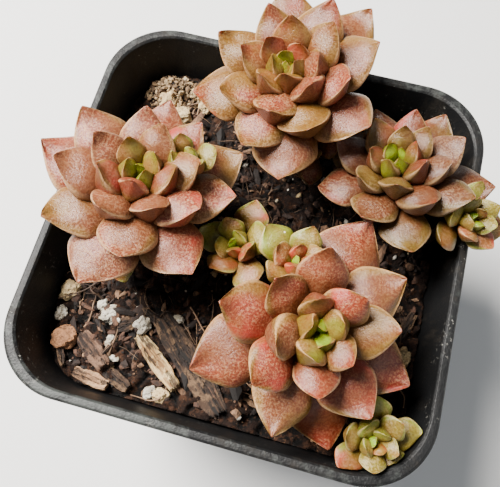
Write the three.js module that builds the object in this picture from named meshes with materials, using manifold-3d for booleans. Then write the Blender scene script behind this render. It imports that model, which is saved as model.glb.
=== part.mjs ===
// A square nursery pot of stonecrop-like succulents: four rosettes and seven pups on short stems, in a
// bark and pumice mix. Millimetres, +Z up. The origin is the centre of the pot's foot, on the ground.
import * as THREE from "three";
import { mergeVertices } from "three/addons/utils/BufferGeometryUtils.js";
import Module from "manifold-3d";

const wasm = await Module();
wasm.setup();

// ---- Driving dimensions -----------------------------------------------------------------------------

const GAP = 0.3; // clearance between pieces that touch or grow past each other

const pot = {
  rimSide: 90, // outside, across the lip
  rimCorner: 15, // outside corner radius at the lip
  footSide: 66, // outside, at the ground
  height: 76,
  wall: 1.2,
  lipProud: 0.9, // how far the lip stands out past the wall
  lipDrop: 6, // depth of the lip's outer band
  floor: 1.6,
  arcSteps: 5, // facets in each rounded corner
  drainRadius: 4,
  drainReach: 20, // from the pot's axis to each drain hole, along X and along Y
};

const soil = {
  headspace: 12, // from the rim down to the soil's mean level
  bump: 1.1, // height of its swells
  rings: 4,
  bite: 0.4, // share of a stone's or a bark piece's depth that is sunk in the soil
};

const stem = {
  radius: 1.9, // under a rosette
  pupRadius: 1.2,
  sides: 7,
  steps: 3,
  rooted: 7, // length below the soil's surface
  seat: [0.15, 0.9], // how far out the youngest and the oldest leaf stand, as a share of the radius
};

const leafShape = {
  slim: 0.5, // width of the youngest leaf, as a share of its length
  broad: 0.63, // width of the oldest
  pupSlim: 0.62, // the same two for the shorter, stouter leaves of a pup
  pupBroad: 0.76,
  plump: 0.3, // thickness, as a share of the length
  pupPlump: 0.36,
  newest: 0.16, // length of the youngest leaf, as a share of the plant's reach
  lengthening: 0.5, // power of age: below 1, leaves lengthen early
  opening: 0.88, // power of age: below 1, leaves open early
  shoulder: 0.64, // where the blade is widest, from its base (0) to its tip (1)
  foot: 0.4, // width at the base, as a share of the full width
  cup: 0.12, // lift of the youngest leaf's tip, as a share of its length
  sides: 6,
  rings: 4,
  pupRings: 3,
};

const GOLDEN_TURN = 137.508; // degrees from one leaf to the next one down the stem
const LOOSE_LEAVES = 8; // a rosette's oldest leaves, each a piece of its own unless it has dropped off

// Places across the pot are shares of half its width at the lip, from its axis.
// Each plant: root is where its stem leaves the soil and crown the place of its growing tip, the third
// value of crown being its height above the rim. lean is the tilt of its axis in degrees towards the
// bearing leanTo. Leaves are counted from the growing tip outwards: start is the bearing of the first, hand the
// way the spiral runs, reach the length of the oldest, upright and spread the rise of the first and the
// last above the plant's own level, stemRun the length of stem that the leaves stand on, and shed the
// leaves that have dropped off. Bearings are degrees anticlockwise from +X, seen from above.
const rosettes = [
  {
    name: "back", root: [0.02, 0.62], crown: [0, 0.66, 13], lean: 9, leanTo: 219,
    leaves: 29, reach: 22.3, start: 169, hand: -1, upright: 88, spread: 14, stemRun: 7,
  },
  {
    name: "left", root: [-0.49, -0.02], crown: [-0.53, -0.02, 11.3], lean: 9.5, leanTo: 33,
    leaves: 27, reach: 22.4, start: 235, hand: -1, upright: 80, spread: 8, stemRun: 7,
  },
  {
    name: "right", root: [0.53, 0.38], crown: [0.58, 0.39, 8.1], lean: 12.6, leanTo: 146,
    leaves: 26, reach: 18.5, start: 206, hand: -1, upright: 76, spread: 10, stemRun: 8,
  },
  {
    name: "front", root: [0.31, -0.42], crown: [0.37, -0.45, 10.4], lean: 17, leanTo: 307,
    leaves: 25, reach: 24, start: 219, hand: -1, upright: 86, spread: -2, stemRun: 10,
    shed: [19, 24],
  },
];

const pups = [
  {
    name: "right_pup", root: [0.8, 0.26], crown: [0.95, 0.26, 5], lean: 26, leanTo: 330,
    leaves: 14, reach: 9.6, start: 20, hand: 1, upright: 80, spread: 24, stemRun: 4,
  },
  {
    name: "low_right_pup", root: [0.67, -0.71], crown: [0.74, -0.8, 0], lean: 16, leanTo: 300,
    leaves: 14, reach: 10, start: 30, hand: 1, upright: 80, spread: 22, stemRun: 4,
  },
  {
    name: "top_front_pup", root: [0.22, -0.14], crown: [0.24, -0.19, 9], lean: 10, leanTo: 70,
    leaves: 12, reach: 10.5, start: 70, hand: 1, upright: 84, spread: 34, stemRun: 3,
  },
  {
    name: "left_front_pup", root: [-0.03, -0.17], crown: [-0.05, -0.13, 2], lean: 14, leanTo: 200,
    leaves: 12, reach: 10.8, start: 10, hand: 1, upright: 82, spread: 26, stemRun: 3,
  },
  {
    name: "yellow_pup", root: [-0.32, 0.27], crown: [-0.355, 0.12, 13], lean: 10, leanTo: 350,
    leaves: 10, reach: 8, start: 10, hand: 1, upright: 84, spread: 38, stemRun: 3,
  },
  {
    name: "under_back_pup", root: [0.18, 0.41], crown: [0.16, 0.47, 2], lean: 30, leanTo: 280,
    leaves: 9, reach: 8.5, start: 40, hand: 1, upright: 76, spread: 15, stemRun: 3,
  },
  {
    name: "under_left_pup", root: [-0.58, -0.2], crown: [-0.67, -0.24, -1], lean: 35, leanTo: 230,
    leaves: 7, reach: 9, start: 200, hand: 1, upright: 76, spread: 15, stemRun: 3,
  },
];

// Bark lying on the soil: at is its middle, turn the bearing of its long side, tilt its slope end to end.
const barkPieces = [
  { name: "bark_pale", at: [-0.29, -0.71], turn: -33, length: 13.5, width: 3.6, thick: 2.4, tilt: 5 },
  { name: "bark_long", at: [-0.11, -0.71], turn: -41, length: 24, width: 5.2, thick: 2.2, tilt: -3 },
  { name: "bark_chip", at: [-0.63, -0.73], turn: -36, length: 9, width: 4, thick: 1.8, tilt: 8 },
  { name: "bark_tan", at: [-0.6, -0.86], turn: -8, length: 8, width: 2.8, thick: 1.6, tilt: 4 },
];

// Stones: size is the length, width and height of each.
const stones = [
  { name: "stone_rust", at: [-0.79, -0.7], turn: 20, size: [6, 5.2, 4.6] },
  { name: "stone_yellow", at: [-0.85, -0.47], turn: 60, size: [4.8, 4, 3.6] },
  { name: "perlite_grey", at: [-0.86, -0.59], turn: 100, size: [3.6, 2.8, 2.6] },
  { name: "perlite_cluster", at: [-0.61, -0.54], turn: 35, size: [6, 4.6, 3.8] },
  { name: "perlite_white", at: [-0.43, -0.55], turn: 10, size: [4, 3.6, 3.2] },
  { name: "perlite_front", at: [-0.3, -0.85], turn: 45, size: [3.2, 2.8, 2.6] },
  { name: "stone_tan", at: [-0.47, 0.73], turn: 75, size: [5.2, 4, 3.6] },
];

const finish = {
  pot: { color: 0x2b2a2b, roughness: 0.5 },
  soil: { color: 0x3d2f24, roughness: 0.95 },
  stem: { color: 0x8a7a55, roughness: 0.75 },
  heart: { color: 0xb9a070, roughness: 0.55 },
  leaf: { color: 0xb98372, roughness: 0.6 },
  pup: { color: 0xb59a62, roughness: 0.55 },
  bark: { color: 0x8d6f52, roughness: 0.9 },
  stone: { color: 0xb7a48c, roughness: 0.9 },
};

// ---- Solids ----------------------------------------------------------------------------------------

const { degToRad, lerp, smoothstep } = THREE.MathUtils;

const WELD = 1e-3; // points closer than this are one

function solidOf(geometry) {
  const bare = geometry.index ? geometry.toNonIndexed() : geometry.clone();
  bare.deleteAttribute("normal");
  bare.deleteAttribute("uv");
  const merged = mergeVertices(bare, WELD);
  return new wasm.Manifold(
    new wasm.Mesh({
      numProp: 3,
      vertProperties: merged.attributes.position.array,
      triVerts: new Uint32Array(merged.index.array),
    }),
  );
}

function geometryOf(solid) {
  const { vertProperties, triVerts } = solid.getMesh();
  return new THREE.BufferGeometry()
    .setAttribute("position", new THREE.BufferAttribute(vertProperties, 3))
    .setIndex(new THREE.BufferAttribute(triVerts, 1));
}

const joined = (solids) => solids.reduce((all, one) => all.add(one));

// The largest body of a solid, since a cut can leave crumbs beside it and a neck thinner than WELD closes
// up. Faces that share an edge are in one body.
function largestBody(solid) {
  const { attributes, index } = geometryOf(solidOf(geometryOf(solid)));
  const faces = Array.from({ length: index.count / 3 }, (_, i) => {
    return [0, 1, 2].map((k) => index.getX(3 * i + k));
  });
  const group = faces.map((_, i) => i);
  const leader = (i) => {
    while (group[i] !== i) i = group[i];
    return i;
  };
  const faceOnEdge = new Map();
  faces.forEach((corners, i) => {
    corners.forEach((from, k) => {
      const to = corners[(k + 1) % 3];
      const edge = `${Math.min(from, to)} ${Math.max(from, to)}`;
      if (faceOnEdge.has(edge)) group[leader(faceOnEdge.get(edge))] = leader(i);
      else faceOnEdge.set(edge, i);
    });
  });
  const place = (v) => new THREE.Vector3().fromBufferAttribute(attributes.position, v);
  const bodies = new Map();
  faces.forEach((corners, i) => {
    const key = leader(i);
    if (!bodies.has(key)) bodies.set(key, { volume: 0, corners: [] });
    const [a, b, c] = corners.map(place);
    bodies.get(key).volume += a.dot(b.cross(c)) / 6;
    bodies.get(key).corners.push(...corners);
  });
  const [largest] = [...bodies.values()].sort((p, q) => q.volume - p.volume);
  return new THREE.BufferGeometry().setFromPoints(largest.corners.map(place));
}

// ---- Pot and soil: turned profiles, squared off -----------------------------------------------------

// A point of a rounded square of half-side half; k runs round it, arcSteps + 1 points to a corner.
function squarePoint(k, half, corner) {
  const perCorner = pot.arcSteps + 1;
  const quarter = Math.floor(k / perCorner);
  const angle = ((k % perCorner) / pot.arcSteps + quarter) * (Math.PI / 2);
  const middle = half - corner;
  const toX = [1, -1, -1, 1][quarter % 4];
  const toY = [1, 1, -1, -1][quarter % 4];
  return [toX * middle + corner * Math.cos(angle), toY * middle + corner * Math.sin(angle)];
}

// A lathe whose circle of radius r becomes a rounded square of half-side r.
function squareLathe(points) {
  const profile = points.map(([half, height]) => new THREE.Vector2(half, height));
  const around = 4 * (pot.arcSteps + 1);
  const geometry = new THREE.LatheGeometry(profile, around);
  const place = geometry.attributes.position;
  for (let i = 0; i < place.count; i++) {
    const { x: half, y: height } = profile[i % profile.length];
    const corner = (half * pot.rimCorner) / (pot.rimSide / 2);
    const k = Math.floor(i / profile.length) % around;
    const [x, y] = squarePoint(k, half, corner);
    place.setXYZ(i, x, y, height);
  }
  return geometry;
}

const wallSlope = (pot.rimSide / 2 - pot.lipProud - pot.footSide / 2) / pot.height;
const outerHalf = (z) => pot.footSide / 2 + wallSlope * z;
const innerHalf = (z) => outerHalf(z) - pot.wall;
const soilLevel = pot.height - soil.headspace;
const acrossPot = (share) => (share * pot.rimSide) / 2;

function potSolid() {
  const lipOuter = pot.rimSide / 2;
  const lipEdge = pot.lipProud / 2;
  const skirt = pot.height - pot.lipDrop;
  let shell = solidOf(
    squareLathe([
      [0, 0],
      [outerHalf(0) - pot.wall, 0],
      [outerHalf(pot.wall), pot.wall],
      [outerHalf(skirt), skirt],
      [lipOuter - lipEdge / 2, skirt],
      [lipOuter, pot.height - lipEdge],
      [lipOuter - lipEdge, pot.height],
      [innerHalf(pot.height) + lipEdge / 2, pot.height],
      [innerHalf(pot.height), pot.height - lipEdge],
      [innerHalf(pot.floor + pot.wall), pot.floor + pot.wall],
      [innerHalf(pot.floor) - pot.wall, pot.floor],
      [0, pot.floor],
    ]),
  );
  for (const x of [-1, 0, 1]) {
    for (const y of [-1, 0, 1]) {
      if (x === 0 && y === 0) continue;
      const drain = new THREE.CylinderGeometry(pot.drainRadius, pot.drainRadius, 4 * pot.floor, 10);
      drain.rotateX(Math.PI / 2).translate(x * pot.drainReach, y * pot.drainReach, 0);
      shell = shell.subtract(solidOf(drain));
    }
  }
  return shell;
}

// The room that the lip and the upper wall need: nothing that grows comes nearer to them than GAP.
function rimRoom() {
  const outer = pot.rimSide / 2 + GAP;
  const top = pot.height + GAP;
  const low = soilLevel - soil.headspace;
  return solidOf(
    squareLathe([
      [innerHalf(top) - GAP, top],
      [innerHalf(low) - GAP, low],
      [outer, low],
      [outer, top],
      [innerHalf(top) - GAP, top],
    ]),
  );
}

// Slow swells, higher in the middle of the pot than along its walls.
function soilHeight(x, y) {
  const swell = Math.sin(x * 0.21 + 1.3) * Math.cos(y * 0.17 - 0.4) + Math.sin((x + y) * 0.11);
  const mound = 1 - (Math.max(Math.abs(x), Math.abs(y)) / (pot.rimSide / 2)) ** 2;
  return soilLevel + soil.bump * (swell * 0.6 + mound * 1.6 - 0.8);
}

function soilSolid(lift = 0) {
  const low = pot.floor + GAP;
  const lowHalf = innerHalf(low) - GAP - pot.wall;
  const edge = innerHalf(soilLevel) - GAP - soil.bump * wallSlope;
  const rings = Array.from({ length: soil.rings + 1 }, (_, k) => {
    return [edge * (1 - k / soil.rings), soilLevel];
  });
  const foot = [[0, low], [lowHalf, low], [lowHalf + pot.wall, low + pot.wall]];
  const geometry = squareLathe([...foot, ...rings]);
  const place = geometry.attributes.position;
  for (let i = 0; i < place.count; i++) {
    if (place.getZ(i) < soilLevel) continue;
    place.setZ(i, soilHeight(place.getX(i), place.getY(i)) + lift);
  }
  return solidOf(geometry);
}

// ---- Leaves and stems --------------------------------------------------------------------------------

// Share of the leaf's full width at t, from its base (0) to its tip (1).
function blade(t) {
  const { shoulder, foot } = leafShape;
  if (t <= shoulder) return lerp(foot, 1, smoothstep(t, -0.1, shoulder));
  return 1 - ((t - shoulder) / (1 - shoulder)) ** 1.6;
}

// A plump leaf along +Y with its upper face towards +Z, and then in its place on the plant; grow is added
// to it all round.
function leafSolid(leaf, grow = 0) {
  const geometry = new THREE.SphereGeometry(1, leafShape.sides, leaf.rings);
  const place = geometry.attributes.position;
  for (let i = 0; i < place.count; i++) {
    const t = (place.getY(i) + 1) / 2;
    const ring = Math.sqrt(Math.max(0, 1 - place.getY(i) ** 2));
    const atPole = ring < 1e-6;
    const across = atPole ? 0 : place.getX(i) / ring;
    const up = atPole ? 0 : place.getZ(i) / ring;
    const halfWidth = (leaf.width / 2) * blade(t) + grow;
    const depth = leaf.thick * Math.sin(Math.PI * Math.min(1, t * 0.85 + 0.12)) ** 0.7 + grow;
    const share = up > 0 ? 0.35 : 0.65; // the underside is the fuller one
    place.setXYZ(
      i,
      halfWidth * across,
      t * leaf.length + grow * (2 * t - 1),
      depth * share * up + leaf.cup * leaf.length * t * t,
    );
  }
  geometry.applyMatrix4(leaf.matrix);
  return solidOf(geometry);
}

// The plant's own frame: its growing tip at the origin and its axis along +Z.
function plantMatrix(plant) {
  const towards = degToRad(plant.leanTo);
  const axis = new THREE.Vector3(-Math.sin(towards), Math.cos(towards), 0);
  const [x, y, z] = plant.crown;
  return new THREE.Matrix4()
    .makeTranslation(acrossPot(x), acrossPot(y), pot.height + z)
    .multiply(new THREE.Matrix4().makeRotationAxis(axis, degToRad(plant.lean)));
}

// Depth of a leaf's foot below the growing tip.
const footDepth = (plant, age) => plant.stemRun * age ** 1.1;

function leavesOf(plant, young = false) {
  const stemRadius = young ? stem.pupRadius : stem.radius;
  const widths = young ? [leafShape.pupSlim, leafShape.pupBroad] : [leafShape.slim, leafShape.broad];
  const rings = young ? leafShape.pupRings : leafShape.rings;
  const plump = young ? leafShape.pupPlump : leafShape.plump;
  const frame = plantMatrix(plant);
  return Array.from({ length: plant.leaves }, (_, i) => {
    const age = i / (plant.leaves - 1);
    const length = plant.reach * lerp(leafShape.newest, 1, age ** leafShape.lengthening);
    const turn = plant.start + plant.hand * i * GOLDEN_TURN;
    const rise = lerp(plant.upright, plant.spread, age ** leafShape.opening);
    const seat = stemRadius * lerp(...stem.seat, age);
    const matrix = frame
      .clone()
      .multiply(new THREE.Matrix4().makeRotationZ(degToRad(turn - 90)))
      .multiply(new THREE.Matrix4().makeTranslation(0, seat, -footDepth(plant, age)))
      .multiply(new THREE.Matrix4().makeRotationX(degToRad(rise)));
    return {
      matrix, length, rings,
      width: length * lerp(...widths, age),
      thick: length * plump,
      cup: leafShape.cup * (1 - age),
    };
  });
}

// A stem from its root in the soil up to topDepth below the growing tip.
function stemSolid(plant, radius, topDepth, grow = 0) {
  const [x, y] = plant.root.map(acrossPot);
  const frame = plantMatrix(plant);
  const top = new THREE.Vector3(0, 0, grow - topDepth).applyMatrix4(frame);
  const below = new THREE.Vector3(0, 0, -topDepth - plant.stemRun).applyMatrix4(frame);
  const bottom = new THREE.Vector3(x, y, soilHeight(x, y) - stem.rooted - grow);
  const section = new THREE.Shape(
    Array.from({ length: stem.sides }, (_, k) => {
      const angle = (k / stem.sides) * 2 * Math.PI;
      return new THREE.Vector2(Math.cos(angle), Math.sin(angle)).multiplyScalar(radius + grow);
    }),
  );
  return solidOf(
    new THREE.ExtrudeGeometry(section, {
      steps: stem.steps,
      extrudePath: new THREE.QuadraticBezierCurve3(bottom, below, top),
    }),
  );
}

// ---- Bark and stones ---------------------------------------------------------------------------------

// Turned, tipped and set down so that the soil takes soil.bite of its depth.
function settle(geometry, { at, turn, tilt = 0 }, depth) {
  const [x, y] = at.map(acrossPot);
  const z = soilHeight(x, y) + depth * (0.5 - soil.bite);
  return geometry.rotateY(degToRad(-tilt)).rotateZ(degToRad(turn)).translate(x, y, z);
}

function barkSolid(piece, grow = 0) {
  const { length, width, thick } = piece;
  const outline = [
    [-0.5, -0.3], [-0.22, -0.5], [0.2, -0.42], [0.5, -0.2],
    [0.42, 0.3], [0.1, 0.5], [-0.3, 0.4], [-0.48, 0.16],
  ].map(([u, v]) => new THREE.Vector2(u * (length + 2 * grow), v * (width + 2 * grow)));
  const depth = thick + 2 * grow;
  const slab = new THREE.ExtrudeGeometry(new THREE.Shape(outline), { depth, bevelEnabled: false });
  return solidOf(settle(slab.translate(0, 0, -depth / 2), piece, thick));
}

function stoneSolid(stone, grow = 0) {
  const geometry = new THREE.DodecahedronGeometry(1);
  const place = geometry.attributes.position;
  const point = new THREE.Vector3();
  for (let i = 0; i < place.count; i++) {
    point.fromBufferAttribute(place, i);
    const knob = 1 + 0.1 * Math.sin(3 * point.x + 2 * stone.turn) * Math.cos(4 * point.y - point.z);
    const [half, halfWide, halfHigh] = stone.size.map((size) => (size / 2) * knob + grow);
    place.setXYZ(i, point.x * half, point.y * halfWide, point.z * halfHigh);
  }
  return solidOf(settle(geometry, stone, stone.size[2]));
}

// ---- Assembly ------------------------------------------------------------------------------------------

const root = new THREE.Group();

function addMesh(name, solid, look) {
  const material = new THREE.MeshStandardMaterial({ metalness: 0, ...look });
  const mesh = new THREE.Mesh(largestBody(solid), material);
  mesh.name = name;
  root.add(mesh);
}

// A heart is the leaves that still close over the growing tip; the loose leaves stand off below it.
const heartLeaves = (plant) => plant.leaves - LOOSE_LEAVES;
const heartDepth = (plant) => footDepth(plant, (heartLeaves(plant) - 1) / (plant.leaves - 1));
const rosetteStem = (plant, grow) => stemSolid(plant, stem.radius, heartDepth(plant), grow);
const pupStem = (plant, grow) => stemSolid(plant, stem.pupRadius, 0, grow);

// The soil makes room for the bark, the stones and the rooted ends of the stems.
const bedded = [
  ...barkPieces.map((piece) => barkSolid(piece, GAP)),
  ...stones.map((stone) => stoneSolid(stone, GAP)),
  ...rosettes.map((plant) => rosetteStem(plant, GAP)),
];
const sockets = joined([...bedded, ...pups.map((plant) => pupStem(plant, GAP))]);

addMesh("pot", potSolid(), finish.pot);
addMesh("soil", soilSolid().subtract(sockets), finish.soil);
const walls = rimRoom();
for (const piece of barkPieces) addMesh(piece.name, barkSolid(piece).subtract(walls), finish.bark);
for (const stone of stones) addMesh(stone.name, stoneSolid(stone).subtract(walls), finish.stone);

// Each leaf grows in the room that is left by everything placed before it.
const ground = soilSolid(GAP);
let taken = joined([walls, ...bedded]);
const grownInRoom = (leaves) => {
  return joined(leaves.map((leaf) => leafSolid(leaf))).subtract(ground).subtract(taken);
};
const occupy = (leaves) => {
  taken = taken.add(joined(leaves.map((leaf) => leafSolid(leaf, GAP))));
};

for (const plant of pups) {
  const leaves = leavesOf(plant, true);
  addMesh(plant.name, grownInRoom(leaves).add(pupStem(plant).subtract(taken)), finish.pup);
  occupy(leaves);
  taken = taken.add(pupStem(plant, GAP));
}
for (const plant of rosettes) {
  const leaves = leavesOf(plant).slice(0, heartLeaves(plant));
  addMesh(`${plant.name}_stem`, rosetteStem(plant), finish.stem);
  addMesh(`${plant.name}_heart`, grownInRoom(leaves), finish.heart);
  occupy(leaves);
}
for (let k = 0; k < LOOSE_LEAVES; k++) {
  for (const plant of rosettes) {
    const number = heartLeaves(plant) + k;
    if (plant.shed?.includes(number)) continue;
    const leaf = leavesOf(plant)[number];
    addMesh(`${plant.name}_leaf_${number + 1}`, grownInRoom([leaf]), finish.leaf);
    occupy([leaf]);
  }
}

export default root;
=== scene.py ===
import math
import random

import bmesh
import bpy
from mathutils import Euler, Matrix, Vector, noise


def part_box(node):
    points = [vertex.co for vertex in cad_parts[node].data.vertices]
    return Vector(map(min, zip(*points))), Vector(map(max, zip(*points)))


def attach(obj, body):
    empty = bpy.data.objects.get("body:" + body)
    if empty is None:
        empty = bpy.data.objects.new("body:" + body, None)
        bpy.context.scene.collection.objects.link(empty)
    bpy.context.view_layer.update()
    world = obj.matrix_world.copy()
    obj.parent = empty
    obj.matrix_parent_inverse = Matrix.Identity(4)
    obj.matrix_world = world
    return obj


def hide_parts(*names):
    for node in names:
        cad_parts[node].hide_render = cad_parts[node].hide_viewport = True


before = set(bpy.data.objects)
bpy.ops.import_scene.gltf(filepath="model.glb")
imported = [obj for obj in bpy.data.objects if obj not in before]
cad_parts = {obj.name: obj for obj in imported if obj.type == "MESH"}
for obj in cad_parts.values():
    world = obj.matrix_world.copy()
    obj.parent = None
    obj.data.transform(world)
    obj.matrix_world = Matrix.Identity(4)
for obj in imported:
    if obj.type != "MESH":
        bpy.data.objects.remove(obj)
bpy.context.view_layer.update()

MM = 0.001

# ---- Pot -------------------------------------------------------------------------------------------
# A square nursery pot, moulded in thin black polypropylene. Its wall tapers to a smaller foot with eight
# drainage holes, and a lip band stiffens the mouth. The lip's top is painted lighter in patches, partly as
# scuffs and partly as a painted highlight, and salts have dried on the wall.

pot_low, pot_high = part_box("pot")
RIM_Z = pot_high.z
RIM_HALF = (pot_high.x - pot_low.x) / 2
FOOT_HALF = 33 * MM
RIM_CORNER = 15 * MM
POT_WALL = 1.2 * MM
LIP_PROUD = 0.9 * MM
LIP_DROP = 6 * MM
MOULD_ROUND = 0.3 * MM
POT_FLOOR = 1.6 * MM
DRAIN_RADIUS = 4 * MM
DRAIN_REACH = 20 * MM
POT_AROUND = 112


def wall_half(z):
    """Half the pot's outer width at height z, under the lip."""
    return FOOT_HALF + (RIM_HALF - LIP_PROUD - FOOT_HALF) * z / RIM_Z


def squared(angle, half, corner):
    """The point of a rounded square that the point of a circle at angle moves to."""
    quarter, part = divmod(angle / (math.pi / 2), 1)
    straight = 0.14
    middle = half - corner
    if part < straight:
        x, y = half, middle * part / straight
    elif part > 1 - straight:
        x, y = middle * (1 - part) / straight, half
    else:
        turn = (part - straight) / (1 - 2 * straight) * math.pi / 2
        x, y = middle + corner * math.cos(turn), middle + corner * math.sin(turn)
    for _ in range(int(quarter) % 4):
        x, y = -y, x
    return x, y


def moulded_square(profile, around):
    """A closed profile of (half-width, height) spun into a round pot, then squared off."""
    bm = bmesh.new()
    points = [bm.verts.new((half, 0, height)) for half, height in profile]
    edges = [bm.edges.new(pair) for pair in zip(points, points[1:])]
    bmesh.ops.spin(
        bm, geom=points + edges, cent=(0, 0, 0), axis=(0, 0, 1),
        angle=2 * math.pi, steps=around, use_merge=True,
    )
    bmesh.ops.remove_doubles(bm, verts=bm.verts, dist=1e-6)
    for vert in bm.verts:
        half = math.hypot(vert.co.x, vert.co.y)
        if half > 1e-6:
            angle = math.atan2(vert.co.y, vert.co.x) % (2 * math.pi)
            vert.co.x, vert.co.y = squared(angle, half, half * RIM_CORNER / RIM_HALF)
    bmesh.ops.recalc_face_normals(bm, faces=bm.faces)
    return bm


def finished(name, bm, smooth=True):
    """The bmesh as an object of the scene."""
    mesh = bpy.data.meshes.new(name)
    bm.to_mesh(mesh)
    bm.free()
    mesh.polygons.foreach_set("use_smooth", [smooth] * len(mesh.polygons))
    piece = bpy.data.objects.new(name, mesh)
    bpy.context.scene.collection.objects.link(piece)
    return piece


def pot_profile():
    skirt = RIM_Z - LIP_DROP
    inner = wall_half(RIM_Z) - POT_WALL
    return [
        (0, 0),
        (FOOT_HALF - POT_WALL, 0),
        (wall_half(POT_WALL), POT_WALL),
        (wall_half(skirt * 0.5), skirt * 0.5),
        (wall_half(skirt), skirt),
        (RIM_HALF - LIP_PROUD / 4, skirt),
        (RIM_HALF, RIM_Z - LIP_PROUD / 2),
        (RIM_HALF - LIP_PROUD / 2, RIM_Z),
        (inner + LIP_PROUD / 2, RIM_Z),
        (inner, RIM_Z - LIP_PROUD / 2),
        (wall_half(RIM_Z * 0.5) - POT_WALL, RIM_Z * 0.5),
        (wall_half(POT_FLOOR + POT_WALL) - POT_WALL, POT_FLOOR + POT_WALL),
        (wall_half(POT_FLOOR) - 2 * POT_WALL, POT_FLOOR),
        (0, POT_FLOOR),
    ]


def drilled(piece):
    """The piece with its drainage holes cut through the floor."""
    bm = bmesh.new()
    places = [(x, y) for x in (-1, 0, 1) for y in (-1, 0, 1) if (x, y) != (0, 0)]
    for x, y in places:
        at = Matrix.Translation((x * DRAIN_REACH, y * DRAIN_REACH, 0))
        bmesh.ops.create_cone(
            bm, cap_ends=True, segments=32, radius1=DRAIN_RADIUS, radius2=DRAIN_RADIUS,
            depth=4 * POT_FLOOR, matrix=at,
        )
    drill = finished("drill", bm)
    cut = piece.modifiers.new("holes", "BOOLEAN")
    cut.object = drill
    cut.solver = "EXACT"
    seen = piece.evaluated_get(bpy.context.evaluated_depsgraph_get())
    mesh = bpy.data.meshes.new_from_object(seen)
    piece.modifiers.clear()
    piece.data = mesh
    bpy.data.objects.remove(drill)


def wire(tree, kind, inputs=None, **settings):
    """A node with its settings, each input joined to a socket or set to a value."""
    made = tree.nodes.new(kind)
    for name, value in settings.items():
        setattr(made, name, value)
    for key, value in (inputs or {}).items():
        if isinstance(value, bpy.types.NodeSocket):
            tree.links.new(value, made.inputs[key])
        else:
            made.inputs[key].default_value = value
    return made


def mixed(tree, share, under, over, how="MIX"):
    """The colour under with a share of the colour over."""
    made = wire(tree, "ShaderNodeMix", {0: share, 6: under, 7: over}, data_type="RGBA", blend_type=how)
    return made.outputs[2]


def maths(tree, how, first, second=0.5):
    made = wire(tree, "ShaderNodeMath", {0: first, 1: second}, operation=how)
    return made.outputs[0]


def ranged(tree, value, low, high, to_low=0.0, to_high=1.0):
    """value carried smoothly from low..high to to_low..to_high."""
    made = wire(
        tree, "ShaderNodeMapRange",
        {"Value": value, "From Min": low, "From Max": high, "To Min": to_low, "To Max": to_high},
        interpolation_type="SMOOTHSTEP",
    )
    return made.outputs[0]


def grainy(tree, place, scale, detail=3.0, rough=0.6):
    inputs = {"Vector": place, "Scale": scale, "Detail": detail, "Roughness": rough}
    return wire(tree, "ShaderNodeTexNoise", inputs).outputs["Fac"]


def new_material(name, roughness=0.6):
    """An empty material: its tree, its shader and its object coordinates."""
    material = bpy.data.materials.new(name)
    material.use_nodes = True
    tree = material.node_tree
    shader = tree.nodes["Principled BSDF"]
    shader.inputs["Roughness"].default_value = roughness
    place = wire(tree, "ShaderNodeTexCoord").outputs["Object"]
    return material, tree, shader, place


def relief(tree, shader, height, depth, strength=1.0):
    """Bump on the shader; depth is the height's full step in metres."""
    bump = wire(tree, "ShaderNodeBump", {"Height": height, "Distance": depth, "Strength": strength})
    tree.links.new(bump.outputs[0], shader.inputs["Normal"])


def pot_plastic():
    material, tree, shader, place = new_material("pot_plastic", 0.42)
    shader.inputs["Specular IOR Level"].default_value = 0.28
    black = (0.006, 0.0062, 0.0066, 1)
    scuff_and_highlight = (0.042, 0.046, 0.043, 1)
    salts = (0.36, 0.35, 0.31, 1)
    mud = (0.035, 0.026, 0.017, 1)
    height = wire(tree, "ShaderNodeSeparateXYZ", {0: place}).outputs["Z"]
    lip = ranged(tree, height, RIM_Z - 0.8 * MM, RIM_Z - 0.05 * MM)
    wear = maths(tree, "ADD", grainy(tree, place, 330, 6, 0.75), grainy(tree, place, 25, 2, 0.5))
    rubbed = ranged(tree, wear, 0.98, 1.2)
    streaky = wire(tree, "ShaderNodeMapping", {"Vector": place, "Scale": (1, 1, 0.25)}).outputs[0]
    dusty = ranged(tree, grainy(tree, streaky, 150, 6, 0.7), 0.5, 0.78)
    inside = ranged(tree, height, RIM_Z - 16 * MM, RIM_Z - 2 * MM)
    specks = ranged(tree, grainy(tree, place, 1100, 5, 0.75), 0.58, 0.68, 0, 0.8)
    specks = maths(tree, "MULTIPLY", specks, ranged(tree, grainy(tree, place, 70, 3, 0.6), 0.5, 0.62))
    colour = mixed(tree, maths(tree, "MULTIPLY", dusty, 0.5), black, mud)
    colour = mixed(tree, maths(tree, "MULTIPLY", specks, inside), colour, salts)
    # The lip's top is painted lighter in rubbed patches: partly scuff wear, partly a painted highlight.
    colour = mixed(tree, maths(tree, "MULTIPLY", lip, rubbed), colour, scuff_and_highlight)
    tree.links.new(colour, shader.inputs["Base Color"])
    rough = ranged(tree, dusty, 0, 1, 0.5, 0.75)
    tree.links.new(rough, shader.inputs["Roughness"])
    fine = grainy(tree, place, 2200, 2, 0.5)
    dents = grainy(tree, place, 420, 4, 0.6)
    relief(tree, shader, maths(tree, "ADD", fine, dents), 0.12 * MM, 0.8)
    return material


pot = finished("nursery_pot", moulded_square(pot_profile(), POT_AROUND))
drilled(pot)
round_edges = pot.modifiers.new("moulded_edges", "BEVEL")
round_edges.width = MOULD_ROUND
round_edges.segments = 3
round_edges.limit_method = "ANGLE"
round_edges.angle_limit = math.radians(25)
round_edges.harden_normals = False
pot.data.materials.append(pot_plastic())
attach(pot, "root")
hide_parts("pot")

# ---- Soil ------------------------------------------------------------------------------------------
# A moist mix of bark crumbs, peat and coir fibre, filled to about 12 mm below the lip. It has settled in
# slow swells and small lumps, with painted shade darkening the gaps between them and the sides along the
# wall.

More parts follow.
